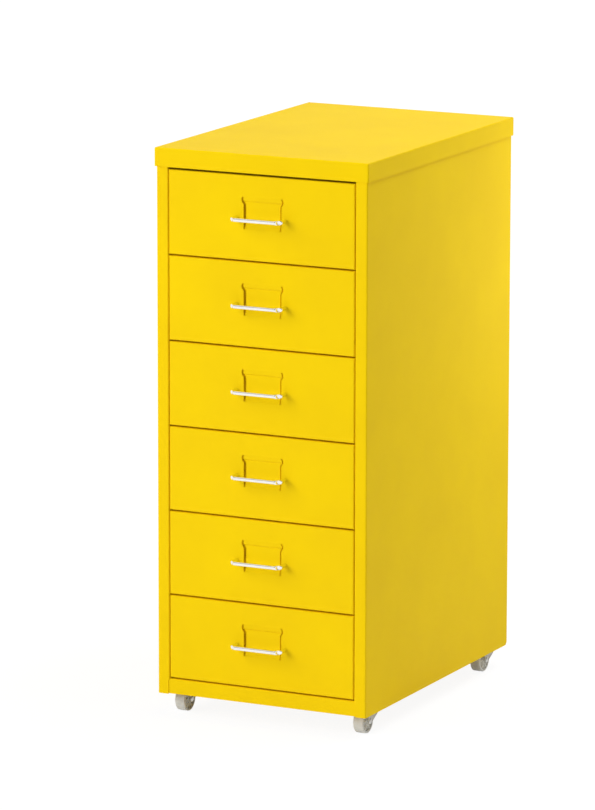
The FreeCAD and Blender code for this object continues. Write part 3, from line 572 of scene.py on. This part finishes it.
for row in drawerRows:
    buildNuts(row, handleNut)
print("handle nuts built")

# Screws
panScrew = {
    "domeShare": 0.35,  # of the head's height
    "domePower": 2.5,
    "armLength": 0.34,  # of the head's radius, all three of the cross
    "armWidth": 0.11,
    "armSoft": 0.05,
    "recessShare": 0.62,  # of the head's height
    "recessTaper": 0.4,
    "rings": 26,
    "steps": 64,
    "threadPitch": 0.0011,
    "threadDepth": 0.0003,
    "threadRings": 8,  # rings in one turn
    "tipTurns": 2,
    "tipShare": 0.35,
}
# the heads face along the axis, 0 to 2 for x to z, to the side of the sign
screwGroups = {
    "back_screws": {"node": "back_panel_screws", "axis": 1, "sign": 1, "spread": 0.008,
                    "headRadius": 0.0035, "headHeight": 0.002, "shankRadius": 0.00175},
    "plate_screws": {"node": "castor_screws", "axis": 2, "sign": -1, "spread": 0.008,
                     "headRadius": 0.0035, "headHeight": 0.0022, "shankRadius": 0.002},
}


# Pan head with a cross recess: over the head's radius the height is a flat dome, and inside
# either arm of the cross it drops smoothly. The shank's radius waves as a thread.
def screwShape(seat, outward, group, length, size):
    steps, pitch = size["steps"], size["threadPitch"]
    angle = fullTurn(steps)[None]
    share = np.linspace(0, 1, size["rings"])[:, None]
    dome = 1 - size["domeShare"] * share ** size["domePower"]
    across, up = np.abs(share * np.cos(angle)), np.abs(share * np.sin(angle))
    arms = [within(a, size["armWidth"], size["armSoft"])
            * within(b, size["armLength"], size["armSoft"])
            for a, b in ((across, up), (up, across))]
    recess = np.maximum(*arms) * size["recessShare"] * (1 - size["recessTaper"] * share)
    headAlong = group["headHeight"] * (dome - recess)
    shankAlong = -np.linspace(0, length, int(length / pitch * size["threadRings"]))[:, None]
    thread = size["threadDepth"] * threadWave(shankAlong, angle, pitch)
    taper = np.clip((length + shankAlong) / (size["tipTurns"] * pitch), size["tipShare"], 1)
    shank = (group["shankRadius"] - thread) * taper
    rim, nought = np.full((1, steps), group["headRadius"]), np.zeros((1, steps))
    radius = np.concatenate([share * rim, rim, shank, nought])
    shankAlong = np.broadcast_to(shankAlong, shank.shape)
    along = np.concatenate([headAlong, nought, shankAlong, nought - length])
    return turned(radius, along, steps, seat, outward)


def buildScrews(name, group):
    axis, sign = group["axis"], group["sign"]
    low, high = nodeBox(group["node"])
    head, tip = (high, low) if sign > 0 else (low, high)
    seat = head[axis] - sign * group["headHeight"]
    length = abs(seat - tip[axis])
    outward = sign * np.eye(3)[axis]
    plane = [other for other in range(3) if other != axis]
    grids = [screwShape(np.insert(place, axis, seat), outward, group, length, panScrew)
             for place in solidCentres(group["node"], plane, group["spread"])]
    screws = meshPiece(name, grids)
    finishPiece(screws, "cabinet", "zinc_steel", zincSteel, group["node"])


for name, group in screwGroups.items():
    buildScrews(name, group)
print("screws built")

# Castor wheels
castorWheel = {
    "treadInset": 0.0005,  # the hub stands this far out of the tread at each side
    "edge": 0.0012,  # rounding of the tread's edge
    "edgeSteps": 7,
    "crown": 0.0001,  # the tread's middle stands this far above its edge
    "crownShares": (1, 0.5, 0.12, 0),  # of the crown, at these shares of half the width
    "crownPlaces": (0.8, 0.6, 0.3, 0),
    "rimInner": 0.0122,
    "web": 0.0039,  # half thickness of the web
    "wallStep": 0.0001,  # the wall goes up to the hub and the rim over this width
    "wallFoot": 0.0006,  # and it is flat from here on
    "wallRings": 9,
    "hub": 0.0045,
    "hubStand": 0.007,
    "hubEdge": 0.0004,
    "hubEdgeSteps": 4,
    "hubFoot": 0.0002,  # the wall starts this far under the hub's face
    "bore": 0.00205,
    "boreEdge": 0.0003,
    "spokes": 6,
    "spokeWidth": 0.0011,  # half of it, at the foot
    "spokeSoft": 0.0003,
    "spokeStand": 0.0058,
    "steps": 120,
    "sharpAngle": 40,
}


# Turned wheel whose side wall is a height over radius and angle: web, rim, hub, and spokes as
# narrow ridges where the distance to the nearest ray from the hub is small.
def buildWheel(name, size):
    node = f"castor_{name}_wheel"
    low, high = nodeBox(node)
    centre = (low + high) / 2
    radius = (high[2] - low[2]) / 2
    half = (high[0] - low[0]) / 2 - size["treadInset"]
    edge, hub, hubStand, hubEdge = (size[key] for key in ("edge", "hub", "hubStand", "hubEdge"))
    bore, boreEdge, step, rim = (size[key] for key in ("bore", "boreEdge", "wallStep", "rimInner"))

    angle = fullTurn(size["steps"])
    sector = 2 * np.pi / size["spokes"]
    offRay = np.abs((angle + sector / 2) % sector - sector / 2)
    wallRadius = np.concatenate([
        [hub, hub + step],
        np.linspace(hub + size["wallFoot"], rim - size["wallFoot"], size["wallRings"]),
        [rim - step, rim + step],
    ])
    aside = wallRadius[:, None] * np.sin(offRay)[None]
    ridge = within(aside, size["spokeWidth"] - size["spokeSoft"], size["spokeSoft"])
    wall = size["web"] + (size["spokeStand"] - size["web"]) * ridge
    wall[0] = hubStand - size["hubFoot"]
    wall[-1] = half

    inner = np.concatenate([
        [(bore, 0), (bore, hubStand - boreEdge), (bore + boreEdge, hubStand)],
        roundCorner((hub - hubEdge, hubStand - hubEdge), hubEdge, 90, 0, size["hubEdgeSteps"]),
    ])
    outer = roundCorner((radius - edge, half - edge), edge, 90, 0, size["edgeSteps"])
    outer[:, 0] -= size["crown"]
    tread = np.stack([radius - size["crown"] * np.array(size["crownShares"]),
                      half * np.array(size["crownPlaces"])], 1)
    wallStart, wallStop = len(inner), len(inner) + len(wallRadius)
    wallPlaces = np.stack([wallRadius, np.zeros(len(wallRadius))], 1)
    profile = np.concatenate([inner, wallPlaces, outer, tread])
    radii = np.repeat(profile[:, :1], size["steps"], 1)
    along = np.repeat(profile[:, 1:], size["steps"], 1)
    along[wallStart:wallStop] = wall
    radii = np.concatenate([radii, radii[-2::-1]])
    along = np.concatenate([along, -along[-2::-1]])
    grid = turned(radii, along, size["steps"], centre, (1, 0, 0))
    wheel = meshPiece(f"wheel_{name}", [grid], size["sharpAngle"])
    finishPiece(wheel, node, "castor_plastic", treadPlastic, node)


for name in castorNames:
    buildWheel(name, castorWheel)
print("castor wheels built")

# Castor forks
castorFork = {
    "crownHeight": 0.005,
    "crownEdge": 0.0009,
    "crownEdgeSteps": 7,
    "raceRadius": 0.012,
    "raceHeight": 0.0022,
    "seatRadius": 0.0059,
    "seatDepth": 0.002,
    "bore": 0.00306,
    "smallEdge": 0.0004,
    "smallEdgeSteps": 4,
    "legGauge": 0.0022,
    "legOuter": 0.0095,
    "legEdge": 0.0006,
    "legEdgeSteps": 6,
    "legCorner": 0.0028,
    "legSink": 0.0004,  # the legs' top corners lie this far inside the crown
    "legDraft": 0.0002,  # the leg's front edge leans back by this much
    "skirtFront": 0.024,
    "skirtRear": 0.0215,
    "toe": (0.45, 1.02),  # the foot's last corner from the hub, in boss radii, rear and down
    "toeCorners": (0.93, 0.8),  # radii of the foot's two corners, in boss radii
    "bossRadius": 0.0037,
    "bossStand": 0.0003,  # the boss and the leg's rim stand this far proud of its panel
    "bossEdge": 0.0003,
    "bossFlat": 0.0006,
    "rimWidth": 0.0016,
    "panelShares": (0.15, 0.95, 6),  # rings over the panel: first, last, count
    "leastPanel": 0.00001,
    "hole": 0.00205,
    "ringStep": 0.0002,
    "steps": 96,
    "sharpAngle": 50,
}


# Leg: rings go from the axle's hole out to the outline, over its rounded edge and back. The
# panel between the boss and the rim lies a little deeper.
def forkLeg(centre, trail, hubDrop, crownTop, legHalf, side, size):
    hub = np.array([-trail, crownTop - hubDrop])
    boss, hole, edge, step = (size[key] for key in ("bossRadius", "hole", "legEdge", "ringStep"))
    top = crownTop - size["legSink"]
    toeReach, toeDrop = size["toe"]
    toeFront, toeRear = size["toeCorners"]
    corners = [(-legHalf, top), (-legHalf, size["skirtFront"]),
               (-legHalf + size["legDraft"], hub[1] - boss),
               (hub[0] + boss * toeReach, hub[1] - boss * toeDrop),
               (legHalf, size["skirtRear"]), (legHalf, top)]
    radii = [size["legSink"], size["legCorner"], boss * toeFront, boss * toeRear,
             size["legCorner"], size["legSink"]]
    ray = roundedOutline(corners, radii) - hub
    distance = np.linalg.norm(ray, axis=1)
    ray /= distance[:, None]

    inner, outer = size["legOuter"] - size["legGauge"], size["legOuter"]
    panel = outer - size["bossStand"]
    toRim = distance - size["rimWidth"]
    panelStart = np.minimum(boss, toRim + step)
    panelStop = np.maximum(toRim - step, panelStart + size["leastPanel"])
    turn = quarterTurn(size["legEdgeSteps"])
    # each station: distance from the hub, distance from the fork's middle
    stations = [(hole, inner + step), (hole, outer), (boss - size["bossFlat"], outer),
                (np.minimum(boss - size["bossEdge"], toRim), outer), (panelStart, panel)]
    stations += [(panelStart + (panelStop - panelStart) * share, panel)
                 for share in np.linspace(*size["panelShares"])]
    stations.append((np.maximum(toRim, np.minimum(boss, toRim) + step), outer))
    stations += [(distance - edge * (1 - np.sin(a)), outer - edge * (1 - np.cos(a)))
                 for a in turn]
    stations += [(distance - edge * (1 - np.sin(a)), inner + edge * (1 - np.cos(a)))
                 for a in turn[::-1]]
    stations += [((distance + hole) / 2, inner), (hole, inner), (hole, inner + step)]
    reach = np.stack([np.broadcast_to(out, distance.shape) for out, across in stations])
    plane = hub + reach[..., None] * ray[None]
    across = np.array([across for out, across in stations]) * side
    x = np.repeat(across[:, None], len(distance), 1)
    return np.stack([centre[0] + x, centre[1] + plane[..., 0], plane[..., 1]], -1)


# Crown: a turned profile from the kingpin's bore over the race and the rounded rim to the seat
# of the kingpin's head. The two legs hang from it.
def buildFork(name, size):
    node = f"castor_{name}_fork"
    low, high = nodeBox(node)
    wheelLow, wheelHigh = nodeBox(f"castor_{name}_wheel")
    centre, wheelCentre = (low + high) / 2, (wheelLow + wheelHigh) / 2
    crownRadius = (high[0] - low[0]) / 2
    top = high[2]
    crownTop = top - size["raceHeight"]
    crownLow = crownTop - size["crownHeight"]
    seatTop = crownLow + size["seatDepth"]
    bore, race, seat = size["bore"], size["raceRadius"], size["seatRadius"]
    edge, edgeSteps = size["crownEdge"], size["crownEdgeSteps"]
    small, smallSteps = size["smallEdge"], size["smallEdgeSteps"]
    profile = np.concatenate([
        [[bore, seatTop], [bore, top - small]],
        roundCorner((bore + small, top - small), small, 180, 90, smallSteps),
        roundCorner((race - small, top - small), small, 90, 0, smallSteps),
        roundCorner((race + small, crownTop + small), small, 180, 270, smallSteps),
        roundCorner((crownRadius - edge, crownTop - edge), edge, 90, 0, edgeSteps),
        roundCorner((crownRadius - edge, crownLow + edge), edge, 0, -90, edgeSteps),
        roundCorner((seat + small, crownLow + small), small, 270, 180, smallSteps),
        [[seat, seatTop], [bore, seatTop]],
    ])
    origin = (centre[0], centre[1], 0)
    grids = [turned(profile[:, 0], profile[:, 1], size["steps"], origin, (0, 0, 1))]
    trail, hubDrop = centre[1] - wheelCentre[1], crownTop - wheelCentre[2]
    legHalf = math.sqrt(crownRadius ** 2 - size["legOuter"] ** 2)
    for side in (-1, 1):
        grids.append(forkLeg(centre, trail, hubDrop, crownTop, legHalf, side, size))
    fork = meshPiece(f"fork_{name}", grids, size["sharpAngle"])
    finishPiece(fork, f"castor_{name}_swivel", "castor_plastic", forkPlastic, node)


for name in castorNames:
    buildFork(name, castorFork)
print("castor forks built")

# Castor plates and kingpins
castorPlate = {
    "gauge": 0.002,
    "corner": 0.004,
    "edge": 0.0004,
    "edgeSteps": 5,
    "raceRadius": 0.012,
    "cupRadius": 0.014,
    "bend": 0.0009,
    "bendSteps": 5,
    "bore": 0.00306,
    "arcSteps": 9,
    "runSteps": 15,
}
kingpin = {
    "shaftRadius": 0.003,
    "headRadius": 0.0055,
    "headHeight": 0.0016,
    "domeShare": 0.4,  # of the head's height
    "domeSteps": 9,
    "chamfer": 0.0004,
    "steps": 48,
    "spread": 0.012,
}


# Plate with a pressed cup: round rings from the bore over the cup go over into rounded squares,
# round the plate's edge, and come back along its flat top.
def buildPlate(name, size):
    node = f"castor_{name}_plate"
    low, high = nodeBox(node)
    centre = (low + high) / 2
    half = (high[0] - low[0]) / 2
    bottom, top = low[2], high[2]
    seat = top - size["gauge"]
    edge, bend, bore, race, cup = (
        size[key] for key in ("edge", "bend", "bore", "raceRadius", "cupRadius"))
    corners = [(-half, -half), (half, -half), (half, half), (-half, half)]
    outline = roundedOutline(corners, [size["corner"]] * 4, size["arcSteps"], size["runSteps"])
    distance = np.linalg.norm(outline, axis=1)
    ray = outline / distance[:, None]

    slope = math.atan2(seat - bottom, cup - race)
    arc = np.linspace(np.pi / 2, np.pi / 2 - slope, size["bendSteps"])
    turn = quarterTurn(size["edgeSteps"])
    # each station: distance from the middle, level
    stations = [(bore, seat), (bore, bottom), (race - bend, bottom)]
    stations += [(race - bend + bend * math.cos(a), bottom + bend * (1 - math.sin(a)))
                 for a in arc]
    stations += [(cup + bend - bend * math.cos(a), seat - bend * (1 - math.sin(a)))
                 for a in arc[::-1]]
    stations += [(distance - edge * (1 - math.sin(a)), seat + edge * (1 - math.cos(a)))
                 for a in turn]
    stations += [(distance - edge * (1 - math.sin(a)), top - edge * (1 - math.cos(a)))
                 for a in turn[::-1]]
    stations += [(bore, top), (bore, seat)]
    reach = np.stack([np.broadcast_to(out, distance.shape) for out, level in stations])
    flat = reach[..., None] * ray[None]
    up = np.repeat(np.array([level for out, level in stations])[:, None], len(distance), 1)
    grid = np.stack([centre[0] + flat[..., 0], centre[1] + flat[..., 1], up], -1)
    plate = meshPiece(f"plate_{name}", [grid])
    finishPiece(plate, "cabinet", "zinc_steel", zincSteel, node)


# Kingpin: a low domed head below and a shaft with a chamfered end, turned round its axis.
def buildKingpins(size):
    node = "castor_kingpins"
    low, high = nodeBox(node)
    height = high[2] - low[2]
    head, headHeight, shaft, chamfer = (
        size[key] for key in ("headRadius", "headHeight", "shaftRadius", "chamfer"))
    angle = quarterTurn(size["domeSteps"])
    dome = headHeight * size["domeShare"]
    profile = np.concatenate([
        np.stack([head * np.sin(angle), dome * (1 - np.cos(angle))], 1),
        [(head, headHeight), (shaft, headHeight), (shaft, height - chamfer),
         (shaft - chamfer, height), (0, height)],
    ])
    grids = [turned(profile[:, 0], profile[:, 1], size["steps"], (x, y, low[2]), (0, 0, 1))
             for x, y in solidCentres(node, (0, 1), size["spread"])]
    pins = meshPiece("kingpins", grids)
    finishPiece(pins, "cabinet", "zinc_steel", zincSteel, node)


for name in castorNames:
    buildPlate(name, castorPlate)
buildKingpins(kingpin)
print("castor plates and kingpins built")

# Castor pins
castorPin = {
    "headRadius": 0.0033,
    "headHeight": 0.001,
    "shaftRadius": 0.002,
    "domeRings": 8,
    "steps": 48,
}


# Riveted axle: a shaft between two heads, each an ellipse's quarter turned round the axis.
def buildAxle(name, size):
    node = f"castor_{name}_axle"
    low, high = nodeBox(node)
    centre = (low + high) / 2
    half = (high[0] - low[0]) / 2
    angle = quarterTurn(size["domeRings"])
    dome = half - size["headHeight"] * (1 - np.cos(angle))
    radius = np.concatenate([size["headRadius"] * np.sin(angle), [size["shaftRadius"]]])
    along = np.concatenate([dome, [half - size["headHeight"]]])
    radius = np.concatenate([radius, radius[::-1]])
    along = np.concatenate([along, -along[::-1]])
    grid = turned(radius, along, size["steps"], centre, (1, 0, 0))
    pin = meshPiece(f"axle_{name}", [grid])
    finishPiece(pin, f"castor_{name}_swivel", "zinc_steel", zincSteel, node)


for name in castorNames:
    buildAxle(name, castorPin)
print("castor axles built")

# Studio
studio = {
    "floorShade": (0.9, 0.9, 0.9),
    "floorRadius": 14.0,
    "floorSides": 64,
    "floorGlow": 0.86,  # share of the floor that is plain white to the camera, near the cabinet
    "glowStrength": 1.06,
    "glowStart": 0.35,  # from here to glowStop that share grows to the whole
    "glowStop": 1.2,
    "ambient": 0.27,
    # brightness that metal sees, as (place, level): over the upward part of a direction ...
    "room": ((0.0, 1.0), (0.55, 1.0), (0.68, 0.35), (0.8, 0.35), (0.88, 1.0), (1.0, 1.0)),
    # ... and over its part to the right
    "roomRight": ((0.0, 1.0), (0.5, 1.0), (0.62, 0.2), (0.9, 0.2), (0.97, 0.8), (1.0, 0.8)),
    "lamps": {
        "key": {"place": (-2.2, -2.9, 2.05), "aim": (0, 0, 0.45), "width": 2.9, "power": 118},
        "top": {"place": (0.8, 0.4, 2.3), "aim": (0, 0, 0.6), "width": 1.6, "power": 24.8},
        "side": {"place": (0.35, 0.44, 0.53), "aim": (0.1, 0.1, 0.34), "width": 0.5,
                 "power": 1.02},
    },
}


def calculate(tree, operation, first, second):
    node = tree.nodes.new("ShaderNodeMath")
    node.operation = operation
    tree.links.new(first, node.inputs[0])
    tree.links.new(second, node.inputs[1])
    return node.outputs[0]


def mixShaders(tree, factor, first, second):
    node = tree.nodes.new("ShaderNodeMixShader")
    tree.links.new(factor, node.inputs["Fac"])
    tree.links.new(first, node.inputs[1])
    tree.links.new(second, node.inputs[2])
    return node.outputs[0]


# One where a ray comes from the camera, a mirror or a clear body, and nought otherwise.
def seenDirectly(tree):
    path = tree.nodes.new("ShaderNodeLightPath")
    total = path.outputs["Is Camera Ray"]
    for ray in ("Is Glossy Ray", "Is Transmission Ray"):
        total = calculate(tree, "MAXIMUM", total, path.outputs[ray])
    return total


# Round floor, white to the camera from near the cabinet outwards, and clear when seen from below.
def buildFloor(size):
    sides = size["floorSides"]
    angle = fullTurn(sides)
    edge = np.stack([np.cos(angle), np.sin(angle), np.zeros(sides)], 1) * size["floorRadius"]
    data = bpy.data.meshes.new("floor")
    data.from_pydata(edge.tolist(), [], [list(range(sides))])
    floor = bpy.data.objects.new("floor", data)
    bpy.context.scene.collection.objects.link(floor)
    material = bpy.data.materials.new("pale_floor")
    tree, output = emptyTree(material, "ShaderNodeOutputMaterial")
    matt = tree.nodes.new("ShaderNodeBsdfDiffuse")
    matt.inputs["Color"].default_value = (*size["floorShade"], 1)
    glow = tree.nodes.new("ShaderNodeEmission")
    glow.inputs["Strength"].default_value = size["glowStrength"]
    place = tree.nodes.new("ShaderNodeTexCoord")
    away = tree.nodes.new("ShaderNodeVectorMath")
    away.operation = "LENGTH"
    tree.links.new(place.outputs["Object"], away.inputs[0])
    fade = mapRange(tree, away.outputs["Value"], size["floorGlow"], 1,
                    size["glowStart"], size["glowStop"])
    share = calculate(tree, "MULTIPLY", seenDirectly(tree), fade)
    above = mixShaders(tree, share, matt.outputs[0], glow.outputs[0])
    clear = tree.nodes.new("ShaderNodeBsdfTransparent")
    facing = tree.nodes.new("ShaderNodeNewGeometry")
    surface = mixShaders(tree, facing.outputs["Backfacing"], above, clear.outputs[0])
    tree.links.new(surface, output.inputs["Surface"])
    data.materials.append(material)


# Brightness over one part of a direction: places and levels joined by straight lines.
def levelCurve(tree, value, levels):
    shade = tree.nodes.new("ShaderNodeFloatCurve")
    points = shade.mapping.curves[0].points
    for end, place in zip(points, (levels[0], levels[-1])):
        end.location = place
    for place in levels[1:-1]:
        points.new(*place)
    for point in points:
        point.handle_type = "VECTOR"
    shade.mapping.update()
    tree.links.new(value, shade.inputs["Value"])
    return shade.outputs["Value"]


# The camera sees a white room. Metal sees it white near the horizon and overhead, with a darker
# band between and a darker wall to the right. All else gets the soft ambient light.
def buildWorld(size):
    world = bpy.data.worlds.new("studio")
    bpy.context.scene.world = world
    tree, output = emptyTree(world, "ShaderNodeOutputWorld")
    soft, room = tree.nodes.new("ShaderNodeBackground"), tree.nodes.new("ShaderNodeBackground")
    for background in (soft, room):
        background.inputs["Color"].default_value = (1, 1, 1, 1)
    soft.inputs["Strength"].default_value = size["ambient"]
    direction = tree.nodes.new("ShaderNodeTexCoord")
    split = tree.nodes.new("ShaderNodeSeparateXYZ")
    tree.links.new(direction.outputs["Generated"], split.inputs["Vector"])
    upward = levelCurve(tree, split.outputs["Z"], size["room"])
    rightward = levelCurve(tree, split.outputs["X"], size["roomRight"])
    shade = calculate(tree, "MULTIPLY", upward, rightward)
    path = tree.nodes.new("ShaderNodeLightPath")
    strength = calculate(tree, "MAXIMUM", shade, path.outputs["Is Camera Ray"])
    tree.links.new(strength, room.inputs["Strength"])
    surface = mixShaders(tree, seenDirectly(tree), soft.outputs[0], room.outputs[0])
    tree.links.new(surface, output.inputs["Surface"])


def buildLamps(size):
    for name, lamp in size["lamps"].items():
        light = bpy.data.lights.new(name, "AREA")
        light.shape = "SQUARE"
        light.size = lamp["width"]
        light.energy = lamp["power"]
        holder = bpy.data.objects.new(name, light)
        holder.location = lamp["place"]
        direction = Vector(lamp["aim"]) - Vector(lamp["place"])
        holder.rotation_euler = direction.to_track_quat("-Z", "Y").to_euler()
        holder.visible_camera = False
        holder.visible_glossy = False
        bpy.context.scene.collection.objects.link(holder)


buildFloor(studio)
buildWorld(studio)
buildLamps(studio)
print("studio built:", len(studio["lamps"]), "lamps")

# Camera
photoView = {
    "azimuth": 26.278,
    "elevation": 11.455,
    "roll": 0.084,
    "distance": 6.694,
    "slideRight": -0.04731,
    "slideUp": 0.01019,
    "focalPixels": 5521,
    "pictureHeight": 810,
    "sensor": 36,  # along the picture's height, because the picture is upright
    "clip": (0.1, 60),
}


# The camera looks along one fixed direction at the middle of the cap's plan, at half the
# cabinet's height, slid sideways and up from there.
def buildCamera(view):
    low, high = nodeBox("top_cap")
    target = Vector(((low[0] + high[0]) / 2, (low[1] + high[1]) / 2, high[2] / 2))
    azimuth, elevation, roll = (
        math.radians(view[key]) for key in ("azimuth", "elevation", "roll"))
    back = Vector((math.sin(azimuth) * math.cos(elevation),
                   -math.cos(azimuth) * math.cos(elevation), math.sin(elevation)))
    level = Vector((math.cos(azimuth), math.sin(azimuth), 0))
    upright = back.cross(level)
    right = level * math.cos(roll) + upright * math.sin(roll)
    up = upright * math.cos(roll) - level * math.sin(roll)
    slide = right * view["slideRight"] + up * view["slideUp"]
    lens = bpy.data.cameras.new("photo_camera")
    lens.sensor_width = view["sensor"]
    lens.lens = view["focalPixels"] / view["pictureHeight"] * view["sensor"]
    lens.clip_start, lens.clip_end = view["clip"]
    camera = bpy.data.objects.new("photo_camera", lens)
    camera.matrix_world = Matrix((right, up, back)).transposed().to_4x4()
    camera.location = target + back * view["distance"] + slide
    bpy.context.scene.collection.objects.link(camera)
    bpy.context.scene.camera = camera


buildCamera(photoView)
bpy.context.scene.view_settings.view_transform = "Standard"
print("camera placed")
